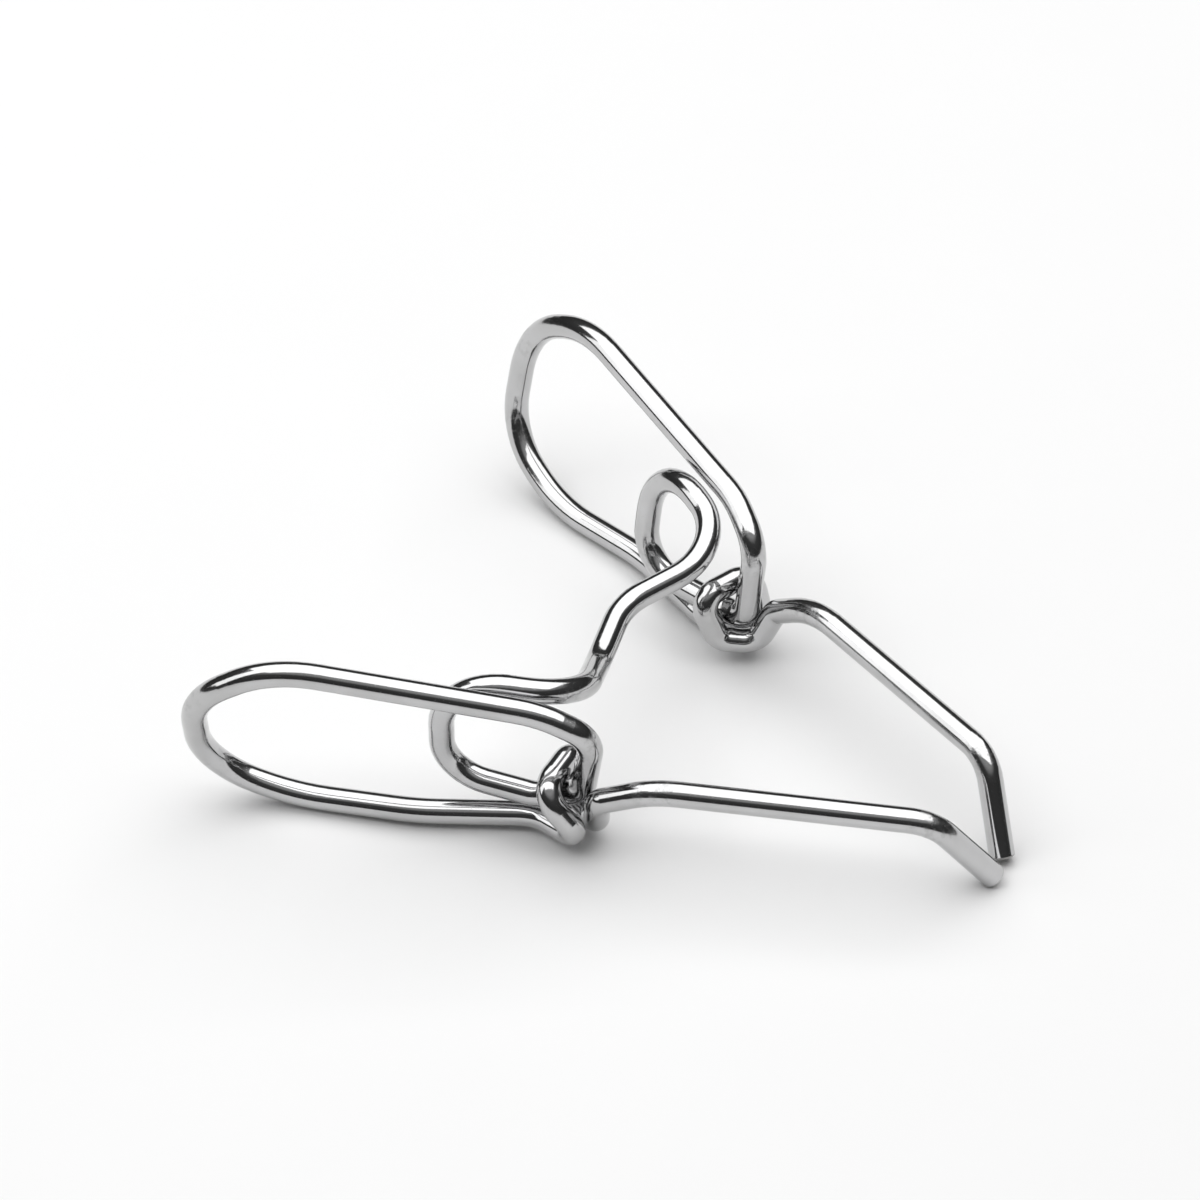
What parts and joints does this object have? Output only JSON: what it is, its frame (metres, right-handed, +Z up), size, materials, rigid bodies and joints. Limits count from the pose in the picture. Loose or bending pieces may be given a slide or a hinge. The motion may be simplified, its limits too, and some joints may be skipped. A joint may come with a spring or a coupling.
{
  "type": "spring clip",
  "caption": "Self-closing clip bent from one round spring wire: finger loops, wrapped knots, crossed spring in the middle and converging arms that meet at the jaw tips.",
  "frame": {"origin": "on the table under the middle of the clip, as it lies on its side at rest", "axes": "+X along the clip from the finger loops to the jaw tips, +Y towards its left half, +Z up from the table"},
  "size_m": [0.0593, 0.0509, 0.0181],
  "materials": {
    "polished_wire": "bright polished steel spring wire, with fine draw lines"
  },
  "bodies": {
    "root": {"clip_wire": "polished_wire"}
  },
  "joints": []
}
